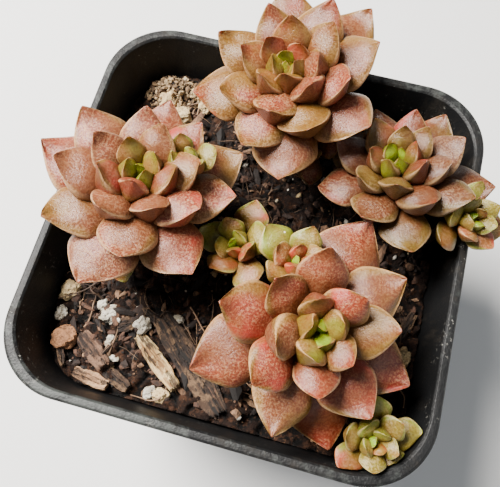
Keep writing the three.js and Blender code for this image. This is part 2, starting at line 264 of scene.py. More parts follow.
SOIL_LEVEL = RIM_Z - 12 * MM
SOIL_BUMP = 1.1 * MM
LUMP_RELIEF = 1.1 * MM
SOIL_FOOT = POT_FLOOR + 0.3 * MM
SOIL_CELLS = 190
soil_edge = (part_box("soil")[1].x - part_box("soil")[0].x) / 2
soil_foot_edge = wall_half(SOIL_FOOT) - 2 * POT_WALL - 0.3 * MM


def soil_height(x, y):
    """The slow swells of the soil, higher in the middle of the pot."""
    u, v = x / MM, y / MM
    swell = math.sin(u * 0.21 + 1.3) * math.cos(v * 0.17 - 0.4) + math.sin((u + v) * 0.11)
    mound = 1 - (max(abs(x), abs(y)) / RIM_HALF) ** 2
    return SOIL_LEVEL + SOIL_BUMP * (swell * 0.6 + mound * 1.6 - 0.8)


def crumb_height(x, y):
    """Lumps and gaps on top of the swells, from -1 to 1 or so."""
    at = Vector((x, y, 0)) / MM
    lumps = noise.fractal(at * 0.42, 1.0, 2.1, 4)
    gaps = abs(noise.noise(at * 0.26 + Vector((9, 4, 2))))
    return lumps * 1.1 + 1.3 * min(gaps * 4, 1) - 1.15


def rounded_square(u, v, corner):
    """A point of the square -1..1 moved so that the square's corners are round."""
    middle = 1 - corner
    x, y = (abs(u) - middle) / corner, (abs(v) - middle) / corner
    if x <= 0 or y <= 0:
        return u, v
    x, y = x * math.sqrt(1 - y * y / 2), y * math.sqrt(1 - x * x / 2)
    return math.copysign(middle + corner * x, u), math.copysign(middle + corner * y, v)


def soil_block():
    bm = bmesh.new()
    bmesh.ops.create_grid(bm, x_segments=SOIL_CELLS, y_segments=SOIL_CELLS, size=1)
    corner = RIM_CORNER / RIM_HALF
    lump = bm.verts.layers.float.new("lump")
    for vert in bm.verts:
        u, v = rounded_square(vert.co.x, vert.co.y, corner)
        x, y = u * soil_edge, v * soil_edge
        step = crumb_height(x, y)
        vert[lump] = step
        vert.co = (x, y, soil_height(x, y) + LUMP_RELIEF * step)
    rim = [edge for edge in bm.edges if edge.is_boundary]
    for z, half in ((SOIL_LEVEL - 4 * MM, soil_edge - 0.6 * MM), (SOIL_FOOT, soil_foot_edge)):
        grown = bmesh.ops.extrude_edge_only(bm, edges=rim)["geom"]
        rim = [part for part in grown if isinstance(part, bmesh.types.BMEdge)]
        for vert in {vert for edge in rim for vert in edge.verts}:
            shrink = half / soil_edge if z > SOIL_FOOT else half / (soil_edge - 0.6 * MM)
            vert.co = (vert.co.x * shrink, vert.co.y * shrink, z)
            # A low lump value, so the sides along the wall are painted partly in shade.
            vert[lump] = -0.4
    bmesh.ops.contextual_create(bm, geom=rim)
    bmesh.ops.recalc_face_normals(bm, faces=bm.faces)
    return bm


def soil_mix():
    material, tree, shader, place = new_material("soil_mix", 0.9)
    shader.inputs["Specular IOR Level"].default_value = 0.25
    painted_gap_shade = (0.0015, 0.0008, 0.0005, 1)
    peat = (0.016, 0.0065, 0.0035, 1)
    husk = (0.065, 0.027, 0.013, 1)
    dry = (0.2, 0.105, 0.055, 1)
    lump = wire(tree, "ShaderNodeAttribute", attribute_name="lump").outputs["Fac"]
    patches = grainy(tree, place, 420, 6, 0.75)
    # Painted shade: the low places between the lumps, and the sides along the wall, are painted near black.
    colour = mixed(tree, ranged(tree, lump, -0.75, 0.25), painted_gap_shade, peat)
    colour = mixed(tree, ranged(tree, patches, 0.5, 0.62), colour, husk)
    colour = mixed(tree, ranged(tree, grainy(tree, place, 900, 4, 0.7), 0.6, 0.72), colour, dry)
    tree.links.new(colour, shader.inputs["Base Color"])
    sheen = ranged(tree, patches, 0.35, 0.7, 0.6, 0.95)
    tree.links.new(sheen, shader.inputs["Roughness"])
    relief(tree, shader, grainy(tree, place, 1100, 6, 0.8), 1.2 * MM)
    return material


soil = finished("soil_block", soil_block())
soil.data.materials.append(soil_mix())
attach(soil, "root")
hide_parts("soil")

# ---- Crumbs, fibre and grit on the soil --------------------------------------------------------------
# Loose stuff of the mix: bark crumbs from black to tan, coir strands and roots that lie over each other,
# and small white and honey grains of perlite and pumice.

loose = random.Random(11)


def on_soil(margin):
    """A random place on the open soil, margin away from the wall."""
    while True:
        u, v = loose.uniform(-1, 1), loose.uniform(-1, 1)
        if math.hypot(max(abs(u) - 0.66, 0), max(abs(v) - 0.66, 0)) < 0.33:
            x, y = u * (soil_edge - margin), v * (soil_edge - margin)
            return x, y


def past_square(x, y, half, corner):
    """How far (x, y) is outside a rounded square, and the nearest place inside it."""
    over = Vector((max(abs(x) - half + corner, 0), max(abs(y) - half + corner, 0)))
    out = over.length - corner
    if out > 0:
        back = over * corner / over.length
        if over.x > 0:
            x = math.copysign(half - corner + back.x, x)
        if over.y > 0:
            y = math.copysign(half - corner + back.y, y)
    return out, x, y


def kept_inside(x, y, margin):
    """The place pulled back to margin from the wall, round the corners too."""
    return past_square(x, y, soil_edge - margin, soil_edge * RIM_CORNER / RIM_HALF - margin)[1:]


def ground(x, y):
    return soil_height(x, y) + MM * crumb_height(x, y)


def crumb(bm, tint, place, size, shade):
    """One angular bit of the given length, width and height."""
    made = bmesh.ops.create_icosphere(bm, subdivisions=1, radius=0.5)["verts"]
    shift = Vector((shade * 90, 0, 0))
    for vert in made:
        knob = 1 + 0.7 * noise.noise(vert.co * 2.6 + shift)
        vert.co = place @ Vector([half * length * knob for half, length in zip(vert.co, size)])
        vert[tint] = shade


def soil_crumbs(count, lengths, slender, flat, rise, slope=0.4):
    """Bits of many sizes; slender and flat are the ranges of width and height, as shares of the length."""
    bm = bmesh.new()
    tint = bm.verts.layers.float.new("tint")
    for _ in range(count):
        x, y = on_soil(0.5 * lengths[1])
        length = lengths[0] + (lengths[1] - lengths[0]) * loose.random() ** 1.8
        size = (length, length * loose.uniform(*slender), length * loose.uniform(*flat))
        turn = Euler([loose.uniform(-slope, slope), loose.uniform(-slope, slope), loose.uniform(0, 6.3)])
        place = Matrix.Translation((x, y, ground(x, y) + rise * size[2])) @ turn.to_matrix().to_4x4()
        crumb(bm, tint, place, size, loose.random())
    return bm


def heap(at, reach, high, count, lengths):
    """Crumbs piled into a low heap."""
    bm = bmesh.new()
    tint = bm.verts.layers.float.new("tint")
    for _ in range(count):
        out, bearing = math.sqrt(loose.random()), loose.uniform(0, 2 * math.pi)
        x, y = at[0] + reach[0] * out * math.cos(bearing), at[1] + reach[1] * out * math.sin(bearing)
        length = loose.uniform(*lengths)
        x, y = kept_inside(x, y, 0.6 * length)
        size = (length, length * loose.uniform(0.5, 0.9), length * loose.uniform(0.4, 0.8))
        turn = Euler([loose.uniform(-3, 3) for _ in range(3)])
        lift = high * (1 - out * out) * loose.uniform(0.3, 1)
        place = Matrix.Translation((x, y, ground(x, y) + lift)) @ turn.to_matrix().to_4x4()
        crumb(bm, tint, place, size, loose.random())
    return bm


def crumb_bark(name, shades):
    material, tree, shader, place = new_material(name, 0.85)
    tint = wire(tree, "ShaderNodeAttribute", attribute_name="tint").outputs["Fac"]
    ramp = wire(tree, "ShaderNodeValToRGB", {0: tint})
    while len(ramp.color_ramp.elements) < len(shades):
        ramp.color_ramp.elements.new(0.5)
    for stop, (at, shade) in zip(ramp.color_ramp.elements, shades):
        stop.position = at
        stop.color = (*shade, 1)
    stretched = wire(tree, "ShaderNodeMapping", {"Vector": place, "Scale": (1, 0.4, 1)}).outputs[0]
    grain = grainy(tree, stretched, 1500, 4, 0.7)
    dark = mixed(tree, ranged(tree, grain, 0.35, 0.6, 0.75, 0), ramp.outputs[0], (0.006, 0.004, 0.003, 1))
    tree.links.new(dark, shader.inputs["Base Color"])
    relief(tree, shader, grain, 0.3 * MM)
    return material


def perlite_grain():
    material, tree, shader, place = new_material("perlite_grain", 0.85)
    tint = wire(tree, "ShaderNodeAttribute", attribute_name="tint").outputs["Fac"]
    body = mixed(tree, ranged(tree, tint, 0.45, 0.9), (0.62, 0.57, 0.48, 1), (0.5, 0.36, 0.17, 1))
    stain = ranged(tree, grainy(tree, place, 500, 5, 0.7), 0.5, 0.7)
    colour = mixed(tree, maths(tree, "MULTIPLY", stain, 0.75), body, (0.2, 0.13, 0.075, 1))
    pores = wire(tree, "ShaderNodeTexVoronoi", {"Vector": place, "Scale": 1900}).outputs["Distance"]
    # Painted shade: the pores are painted dark, as shade in the holes.
    colour = mixed(tree, ranged(tree, pores, 0.08, 0.3, 0.7, 0), colour, (0.1, 0.07, 0.045, 1))
    tree.links.new(colour, shader.inputs["Base Color"])
    relief(tree, shader, pores, 0.25 * MM)
    return material


def soil_fibres(count):
    """Strands of coir and root, each a thin tube of its own bent path."""
    curve = bpy.data.curves.new("soil_fibres", "CURVE")
    curve.dimensions = "3D"
    curve.bevel_depth = 0.1 * MM
    curve.bevel_resolution = 1
    curve.resolution_u = 5
    curve.use_fill_caps = True
    for _ in range(count):
        x, y = on_soil(4 * MM)
        steps = 6
        stride = (0.4 + 2.2 * loose.random() ** 2) * MM
        heading = loose.uniform(0, 2 * math.pi)
        bend = loose.gauss(0, 0.12)
        thick = loose.choice((0.5, 0.6, 0.8, 1.0, 2.2))
        tilt = loose.uniform(-0.12, 0.3)
        strand = curve.splines.new("BEZIER")
        strand.bezier_points.add(steps - 1)
        for k, point in enumerate(strand.bezier_points):
            x, y = kept_inside(x, y, 0.9 * MM)
            hump = (math.sin(math.pi * k / (steps - 1)) * 0.7 * MM + tilt * stride * k)
            point.co = (x, y, ground(x, y) + 0.3 * MM + max(hump, 0))
            point.radius = thick * (1 - 0.5 * k / steps)
            point.handle_left_type = point.handle_right_type = "AUTO"
            x += stride * math.cos(heading)
            y += stride * math.sin(heading)
            heading += bend + loose.gauss(0, 0.16)
    strands = bpy.data.objects.new("soil_fibres", curve)
    bpy.context.scene.collection.objects.link(strands)
    return strands


def coir():
    material, tree, shader, place = new_material("coir", 0.75)
    shade = grainy(tree, place, 90, 2, 0.5)
    colour = mixed(tree, ranged(tree, shade, 0.42, 0.62), (0.02, 0.01, 0.006, 1), (0.27, 0.16, 0.09, 1))
    tree.links.new(colour, shader.inputs["Base Color"])
    relief(tree, shader, grainy(tree, place, 2600, 2, 0.5), 0.1 * MM)
    return material


dark_shades = ((0.0, (0.004, 0.002, 0.0012)), (0.4, (0.026, 0.011, 0.006)), (0.75, (0.1, 0.043, 0.022)),
               (1.0, (0.3, 0.17, 0.09)))
tan_shades = ((0.0, (0.09, 0.05, 0.025)), (0.5, (0.32, 0.2, 0.1)), (1.0, (0.55, 0.4, 0.22)))
dark_crumb = crumb_bark("crumb_bark", dark_shades)
SOIL_BITS = (
    ("soil_crumbs", soil_crumbs(2200, (0.5 * MM, 2.6 * MM), (0.4, 0.9), (0.3, 0.7), 0.2), dark_crumb),
    ("soil_chips", soil_crumbs(230, (2.2 * MM, 8 * MM), (0.2, 0.45), (0.1, 0.25), 0.9, 0.25), dark_crumb),
    ("soil_grit", soil_crumbs(90, (0.5 * MM, 2.1 * MM), (0.7, 1), (0.6, 1), 0.25, 2), perlite_grain()),
    ("tan_heap", heap((-31 * MM, 34.5 * MM), (8 * MM, 5 * MM), 3 * MM, 330, (0.5 * MM, 1.9 * MM)),
     crumb_bark("dry_crumb", tan_shades)),
)
for name, bm, look in SOIL_BITS:
    bits = finished(name, bm, smooth=name == "soil_grit")
    bits.data.materials.append(look)
    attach(bits, "root")

strands = soil_fibres(420)
strands.data.materials.append(coir())
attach(strands, "root")

# ---- Bark ------------------------------------------------------------------------------------------
# Weathered splinters of pine bark lying on the mix, split along the grain: brown and tan ones, and a pale
# one with its inner face up.

BARK = {
    "bark_pale": {"at": (-0.31, -0.7), "turn": -38, "size": (14, 3.6, 2.6), "tilt": 5, "seed": 3},
    "bark_long": {"at": (-0.145, -0.675), "turn": -42, "size": (23.5, 6, 2.4), "tilt": -3, "seed": 8},
    "bark_chip": {"at": (-0.63, -0.73), "turn": -36, "size": (9.2, 4, 1.8), "tilt": 8, "seed": 5},
    "bark_tan": {"at": (-0.6, -0.86), "turn": -8, "size": (8, 3, 1.6), "tilt": 4, "seed": 9},
}
SUNK = 0.4


def across_pot(share):
    return share * RIM_HALF


def bark_splinter(piece):
    """A slab split along the grain: ragged ends, furrows along its top, its own grain coordinates."""
    length, width, thick = (value * MM for value in piece["size"])
    seed = Vector((piece["seed"], 0, 0))
    bm = bmesh.new()
    bmesh.ops.create_cube(bm, size=1)
    bmesh.ops.subdivide_edges(bm, edges=bm.edges, cuts=23, use_grid_fill=True)
    grain = bm.verts.layers.float_vector.new("grain")
    x, y = (across_pot(share) for share in piece["at"])
    place = (
        Matrix.Translation((x, y, soil_height(x, y) + thick * (0.5 - SUNK)))
        @ Matrix.Rotation(math.radians(piece["turn"]), 4, "Z")
        @ Matrix.Rotation(math.radians(-piece["tilt"]), 4, "Y")
    )
    for vert in bm.verts:
        u, v, w = vert.co * 2
        ragged = 0.16 * noise.noise(Vector((v * 2.2, w, u)) + seed)
        ragged += 0.07 * noise.noise(Vector((v * 7, 0, u)) + seed)
        taper = 1 - 0.35 * abs(u) ** 3 + 0.14 * noise.noise(Vector((u * 2, v, 0)) + seed * 2)
        furrow = noise.noise(Vector((u * 1.2, v * 6, w)) + seed * 3)
        lump = noise.noise(Vector((u * 3, v * 2, w)) + seed * 4)
        vert.co = Vector((
            (u + math.copysign(ragged, u) * (abs(u) > 0.8)) * length / 2,
            v * width / 2 * taper + 0.25 * MM * lump,
            w * thick / 2 * (1 - 0.35 * v * v) + (0.5 * furrow + 0.35 * lump) * MM,
        ))
        vert[grain] = vert.co
        vert.co = place @ vert.co
    return bm


def bark_fibre(name, dark, mid, pale):
    material, tree, shader, _ = new_material(name, 0.88)
    grain = wire(tree, "ShaderNodeAttribute", attribute_name="grain").outputs["Vector"]
    along = wire(tree, "ShaderNodeMapping", {"Vector": grain, "Scale": (0.09, 1, 1)}).outputs[0]
    streaks = grainy(tree, along, 1100, 6, 0.7)
    patches = grainy(tree, grain, 420, 6, 0.75)
    split = wire(tree, "ShaderNodeMapping", {"Vector": grain, "Scale": (0.3, 1, 1)}).outputs[0]
    cracks = ranged(tree, grainy(tree, split, 620, 3, 0.6), 0.4, 0.47, 1, 0)
    colour = mixed(tree, ranged(tree, streaks, 0.42, 0.56), (*dark, 1), (*mid, 1))
    colour = mixed(tree, ranged(tree, patches, 0.5, 0.62), colour, (*pale, 1))
    # Painted shade: the cracks are painted near black, as shade in them.
    colour = mixed(tree, maths(tree, "MULTIPLY", cracks, 0.8), colour, (0.012, 0.006, 0.004, 1))
    tree.links.new(colour, shader.inputs["Base Color"])
    ridges = maths(tree, "ADD", streaks, maths(tree, "MULTIPLY", patches, 0.5))
    ridges = maths(tree, "SUBTRACT", ridges, cracks)
    relief(tree, shader, ridges, 0.5 * MM)
    return material


weathered = bark_fibre("weathered_bark", (0.005, 0.003, 0.002), (0.045, 0.023, 0.012), (0.13, 0.075, 0.038))
BARK_LOOKS = {
    "bark_pale": bark_fibre("pale_bark", (0.2, 0.1, 0.035), (0.5, 0.33, 0.14), (0.6, 0.44, 0.22)),
    "bark_chip": bark_fibre("brown_bark", (0.02, 0.01, 0.006), (0.11, 0.055, 0.03), (0.18, 0.1, 0.06)),
    "bark_tan": bark_fibre("tan_bark", (0.08, 0.04, 0.018), (0.3, 0.165, 0.085), (0.48, 0.3, 0.16)),
}
EXTRA_BARK = {
    "thin_stick": {"at": (-0.235, -0.595), "turn": -30, "size": (21, 1.5, 1.3), "tilt": -4, "seed": 12},
    "dark_chip": {"at": (-0.48, -0.83), "turn": -22, "size": (6.8, 3, 1.2), "tilt": 3, "seed": 14},
    "brown_chip": {"at": (-0.5, -0.56), "turn": 35, "size": (5, 3.4, 1.6), "tilt": 9, "seed": 17},
    "wall_chip": {"at": (-0.8, -0.76), "turn": -58, "size": (8, 1.6, 1.2), "tilt": 10, "seed": 19},
    "right_chip": {"at": (0.83, -0.22), "turn": 70, "size": (7, 2.4, 1.4), "tilt": 8, "seed": 21},
    "middle_chip": {"at": (-0.1, 0.2), "turn": 20, "size": (9, 3, 1.5), "tilt": 5, "seed": 23},
}
for node, piece in (*BARK.items(), *EXTRA_BARK.items()):
    splinter = finished(f"{node}_splinter", bark_splinter(piece))
    splinter.data.materials.append(BARK_LOOKS.get(node, weathered))
    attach(splinter, "root")
    if node in BARK:
        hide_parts(node)

# ---- Stones ----------------------------------------------------------------------------------------
# Porous stones half sunk in the mix: a rust-brown lava stone, tan ones, and grains and a clump of perlite.

STONES = {
    "stone_rust": {"at": (-0.79, -0.7), "turn": 20, "size": (6, 5.2, 4.6)},
    "stone_yellow": {"at": (-0.85, -0.47), "turn": 60, "size": (4.8, 4, 3.6)},
    "perlite_grey": {"at": (-0.86, -0.59), "turn": 100, "size": (3.6, 2.8, 2.6)},
    "perlite_cluster": {"at": (-0.61, -0.54), "turn": 35, "size": (6, 4.6, 3.8), "lumps": 7},
    "perlite_white": {"at": (-0.43, -0.55), "turn": 10, "size": (4, 3.6, 3.2)},
    "perlite_front": {"at": (-0.3, -0.85), "turn": 45, "size": (3.2, 2.8, 2.6)},
    "stone_tan": {"at": (-0.47, 0.73), "turn": 75, "size": (5.2, 4, 3.6)},
}
EXTRA_STONES = {
    "tan_pebble": {"at": (-0.6, 0.63), "turn": 30, "size": (5.6, 5, 4.4)},
    "tan_lump": {"at": (-0.7, 0.71), "turn": 110, "size": (6.2, 4.8, 4)},
    "tan_sliver": {"at": (-0.58, 0.5), "turn": 100, "size": (5.6, 3.2, 3)},
    "tan_corner": {"at": (-0.55, 0.78), "turn": 10, "size": (4, 3.2, 3)},
    "honey_grain": {"at": (-0.245, -0.85), "turn": 15, "size": (4, 3, 2.8)},
    "honey_right": {"at": (0.83, -0.38), "turn": 60, "size": (5, 4.4, 3.6)},
    "white_chip": {"at": (-0.52, -0.74), "turn": 0, "size": (2.2, 1.4, 1.2)},
    "white_middle": {"at": (-0.56, -0.66), "turn": 40, "size": (3.6, 2.8, 2.6), "lumps": 4},
    "white_left": {"at": (-0.66, -0.5), "turn": 80, "size": (2.6, 2.4, 2.2)},
    "white_back": {"at": (-0.27, -0.48), "turn": 20, "size": (2.6, 2, 1.8)},
    "white_under": {"at": (-0.2, -0.6), "turn": 70, "size": (2.8, 2, 2)},
}


def stone_body(stone, seed):
    """One worn, pitted stone, or a clump of small ones."""
    size = [value * MM for value in stone["size"]]
    x, y = (across_pot(share) for share in stone["at"])
    place = Matrix.Translation((x, y, soil_height(x, y) + size[2] * (0.5 - SUNK)))
    place = place @ Matrix.Rotation(math.radians(stone["turn"]), 4, "Z")
    grit = random.Random(seed)
    lumps = stone.get("lumps", 1)
    bm = bmesh.new()
    for _ in range(lumps):
        share = 1 if lumps == 1 else grit.uniform(0.38, 0.62)
        reach = 1 - share
        middle = Vector([grit.uniform(-reach, reach) * 0.8 if lumps > 1 else 0 for _ in range(3)])
        made = bmesh.ops.create_icosphere(bm, subdivisions=5 if lumps == 1 else 4, radius=1)["verts"]
        shift = Vector((grit.uniform(0, 50), 0, 0))
        for vert in made:
            knob = 1 + 0.36 * noise.noise(vert.co * 1.3 + shift) + 0.16 * noise.noise(vert.co * 2.6 + shift)
            pits = 0.06 * noise.fractal(vert.co * 8 + shift, 1.0, 2.0, 3)
            point = vert.co * (knob + pits) * share + middle
            vert.co = place @ Vector([half * value / 2 for half, value in zip(size, point)])
    return bm


def porous(name, body, stain, pit_shade):
    material, tree, shader, place = new_material(name, 0.9)
    patches = ranged(tree, grainy(tree, place, 420, 5, 0.7), 0.4, 0.66)
    colour = mixed(tree, patches, (*body, 1), (*stain, 1))
    pores = wire(tree, "ShaderNodeTexVoronoi", {"Vector": place, "Scale": 1700}).outputs["Distance"]
    # Painted shade: the pores are painted dark with the pit colour, as shade in the holes.
    colour = mixed(tree, ranged(tree, pores, 0.1, 0.34, 0.8, 0), colour, (*pit_shade, 1))
    tree.links.new(colour, shader.inputs["Base Color"])
    relief(tree, shader, maths(tree, "ADD", pores, grainy(tree, place, 1500, 3, 0.7)), 0.22 * MM)
    return material


perlite = porous("pitted_perlite", (0.5, 0.46, 0.38), (0.3, 0.25, 0.17), (0.09, 0.065, 0.045))
tan_pumice = porous("tan_pumice", (0.56, 0.42, 0.22), (0.4, 0.27, 0.13), (0.11, 0.07, 0.035))
lava = porous("rust_lava", (0.33, 0.15, 0.065), (0.19, 0.085, 0.038), (0.05, 0.022, 0.011))
for seed, (node, stone) in enumerate((*STONES.items(), *EXTRA_STONES.items()), start=20):
    body = finished(f"{node}_body", stone_body(stone, seed))
    look, slot = tan_pumice, "tan_stone"
    if node.startswith(("perlite", "white")):
        look, slot = perlite, "perlite"
    if node == "stone_rust":
        look, slot = lava, "rust_stone"
    body.data.materials.append(look)
    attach(body, "root")
    if node in STONES:
        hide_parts(node)

# ---- Stems -----------------------------------------------------------------------------------------
# Short woody stems under the rosettes, grey-brown, ringed by the scars of shed leaves. They lean and bend
# from the soil up to the growing tip, and the leaves hide nearly all of each.

STEM_RADIUS = 1.9 * MM
PUP_STEM_RADIUS = 1.2 * MM
STEM_ROOTED = 7 * MM
LEAF_SEAT = (0.15, 0.9)
PLANTS = {
    "back": {
        "root": (0.02, 0.62), "crown": (0, 0.66, 13), "lean": (9, 219), "leaves": 29, "reach": 22.3,
        "start": 169, "hand": -1, "upright": 88, "spread": 14, "run": 7, "heart": 21,
    },
    "left": {
        "root": (-0.49, -0.02), "crown": (-0.53, -0.02, 11.3), "lean": (9.5, 33), "leaves": 27,
        "reach": 22.4, "start": 235, "hand": -1, "upright": 80, "spread": 8, "run": 7, "heart": 19,
    },
    "right": {
        "root": (0.53, 0.38), "crown": (0.58, 0.39, 8.1), "lean": (12.6, 146), "leaves": 26,
        "reach": 18.5, "start": 206, "hand": -1, "upright": 76, "spread": 10, "run": 8, "heart": 18,
    },
    "front": {
        "root": (0.31, -0.42), "crown": (0.37, -0.45, 10.4), "lean": (17, 307), "leaves": 25,
        "reach": 24, "start": 219, "hand": -1, "upright": 86, "spread": -2, "run": 10, "heart": 17,
        "shed": (19, 24),
    },
    "right_pup": {
        "root": (0.8, 0.26), "crown": (0.95, 0.26, 5), "lean": (26, 330), "leaves": 14, "reach": 9.6,
        "start": 20, "hand": 1, "upright": 80, "spread": 24, "run": 4, "over_lip": True,
    },
    "low_right_pup": {
        "root": (0.67, -0.71), "crown": (0.74, -0.8, 0), "lean": (16, 300), "leaves": 14, "reach": 10,
        "start": 30, "hand": 1, "upright": 80, "spread": 22, "run": 4, "over_lip": False,
    },
    "top_front_pup": {
        "root": (0.22, -0.14), "crown": (0.24, -0.19, 9), "lean": (10, 70), "leaves": 12, "reach": 10.5,
        "start": 70, "hand": 1, "upright": 84, "spread": 34, "run": 3,
    },
    "left_front_pup": {
        "root": (-0.03, -0.17), "crown": (-0.05, -0.13, 2), "lean": (14, 200), "leaves": 12, "reach": 10.8,
        "start": 10, "hand": 1, "upright": 82, "spread": 26, "run": 3,
    },
    "yellow_pup": {
        "root": (-0.32, 0.27), "crown": (-0.355, 0.12, 13), "lean": (10, 350), "leaves": 10, "reach": 8,
        "start": 10, "hand": 1, "upright": 84, "spread": 38, "run": 3,
    },
    "under_back_pup": {
        "root": (0.18, 0.41), "crown": (0.16, 0.47, 2), "lean": (30, 280), "leaves": 9, "reach": 8.5,
        "start": 40, "hand": 1, "upright": 76, "spread": 15, "run": 3, "skin": "front",
    },
    "under_left_pup": {
        "root": (-0.58, -0.2), "crown": (-0.67, -0.24, -1), "lean": (35, 230), "leaves": 7, "reach": 9,
        "start": 200, "hand": 1, "upright": 76, "spread": 15, "run": 3,
    },
}


def blend_up(low, high, share):
    return low + (high - low) * share


def plant_frame(plant):
    """From the plant's own axes, growing tip at the origin and +Z up it, to the pot's."""
    u, v, above = plant["crown"]
    lean, bearing = (math.radians(angle) for angle in plant["lean"])
    hinge = Vector((-math.sin(bearing), math.cos(bearing), 0))
    at = Vector((across_pot(u), across_pot(v), RIM_Z + above * MM))
    return Matrix.Translation(at) @ Matrix.Rotation(lean, 4, hinge)


def leaf_foot(plant, age):
    """How far under the growing tip a leaf of this age grows."""
    return plant["run"] * MM * age ** 1.1


def stem_tube(name, plant, radius):
    """A tube along the stem's bend, swelling at each leaf scar."""
    frame_at = plant_frame(plant)
    heart = plant.get("heart")
    top = leaf_foot(plant, (heart - 1) / (plant["leaves"] - 1)) if heart else 0.4 * MM
    x, y = (across_pot(share) for share in plant["root"])
    foot = Vector((x, y, soil_height(x, y) - STEM_ROOTED))
    bend = frame_at @ Vector((0, 0, -top - plant["run"] * MM))
    tip = frame_at @ Vector((0, 0, -top))
    bm = bmesh.new()
    rings, around = 48, 20
    ringed = []
    for k in range(rings + 1):
        t = k / rings
        middle = foot.lerp(bend, t).lerp(bend.lerp(tip, t), t)
        along = (bend - foot).lerp(tip - bend, t).normalized()
        made = bmesh.ops.create_circle(bm, segments=around, radius=1)["verts"]
        turn = along.to_track_quat("Z", "Y").to_matrix()
        scar = 1 + 0.07 * math.sin(k * 1.7) + 0.04 * math.sin(k * 0.6 + 1)
        for vert in made:
            knob = 1 + 0.1 * noise.noise(vert.co * 2 + Vector((0, 0, k * 0.35)))
            vert.co = middle + turn @ (vert.co * radius * scar * knob)
        ringed.append([edge for edge in bm.edges if edge.verts[0] in made and edge.verts[1] in made])
    for low, high in zip(ringed, ringed[1:]):
        bmesh.ops.bridge_loops(bm, edges=low + high)
    bmesh.ops.contextual_create(bm, geom=ringed[0])
    bmesh.ops.contextual_create(bm, geom=ringed[-1])
    bmesh.ops.recalc_face_normals(bm, faces=bm.faces)
    return bm


def stem_skin():
    material, tree, shader, place = new_material("stem_skin", 0.75)
    patches = grainy(tree, place, 420, 4, 0.6)
    colour = mixed(tree, ranged(tree, patches, 0.4, 0.62), (0.055, 0.028, 0.015, 1), (0.2, 0.13, 0.075, 1))
    scars = grainy(tree, place, 1400, 3, 0.6)
    colour = mixed(tree, ranged(tree, scars, 0.55, 0.7), colour, (0.32, 0.25, 0.17, 1))
    tree.links.new(colour, shader.inputs["Base Color"])
    relief(tree, shader, scars, 0.25 * MM)
    return material


bark_of_stems = stem_skin()
for name in ("back", "left", "right", "front"):
    stem = finished(f"{name}_stem_bark", stem_tube(name, PLANTS[name], STEM_RADIUS))
    stem.data.materials.append(bark_of_stems)
    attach(stem, "root")
    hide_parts(f"{name}_stem")

# ---- Leaves ----------------------------------------------------------------------------------------
# Thick pointed leaves set round each stem by the golden angle, the youngest upright in the heart and the
# oldest spread flat. Each is low and rounded above and keeled below, with a fine tip and a bloom.

GOLDEN_TURN = math.radians(137.508)
LEAF_WIDTH = (0.5, 0.63)
PUP_LEAF_WIDTH = (0.62, 0.76)
LEAF_PLUMP = 0.4
PUP_LEAF_PLUMP = 0.44
LENGTHENING = 0.5
OPENING = 0.88
LEAF_NEWEST = 0.16
LEAF_SHOULDER = 0.64
LEAF_FOOT = 0.4
LEAF_CUP = 0.12
WALL_CLEARANCE = 0.3 * MM
buds = random.Random(5)


def smooth_step(value, low, high):
    share = max(0, min(1, (value - low) / (high - low)))
    return share * share * (3 - 2 * share)


def blade(t):
    """The leaf's half-width at t along it, as a share of its widest: nearly straight sides to the point."""
    if t <= LEAF_SHOULDER:
        return blend_up(LEAF_FOOT, 1, smooth_step(t, -0.1, LEAF_SHOULDER))
    return 1 - ((t - LEAF_SHOULDER) / (1 - LEAF_SHOULDER)) ** 1.45


def keel(t):
    """The leaf's depth at t along it: full to the shoulder, then chiselled off to the point."""
    foot = blend_up(0.55, 1, smooth_step(t, 0, 0.35))
    return foot * (1 - smooth_step(t, 0.6, 1.0) ** 0.8) if t > 0.6 else foot


def leaf_section(across, up):
    """Height over the leaf's plane, in depths, where a circle has (across, up): keeled below."""
    edge = abs(across)
    round_part = math.sqrt(max(0, 1 - edge * edge))
    if up > 0:
        return 0.4 * (0.5 * round_part + 0.5 * (1 - edge ** 2.4))
    return -0.66 * (0.32 * round_part + 0.68 * (1 - edge ** 1.15))


def clear_of_wall(point, over_lip):
    """The point moved off the pot's wall: up over the lip, inwards, or if over_lip is None the nearer."""
    rise = RIM_Z + WALL_CLEARANCE - point.z
    if rise <= 0:
        return point
    half = wall_half(point.z) - POT_WALL - WALL_CLEARANCE
    out, x, y = past_square(point.x, point.y, half, half * RIM_CORNER / RIM_HALF)
    if out <= 0:
        return point
    if over_lip or over_lip is None and rise < out:
        return Vector((point.x, point.y, point.z + rise))
    return Vector((x, y, point.z))


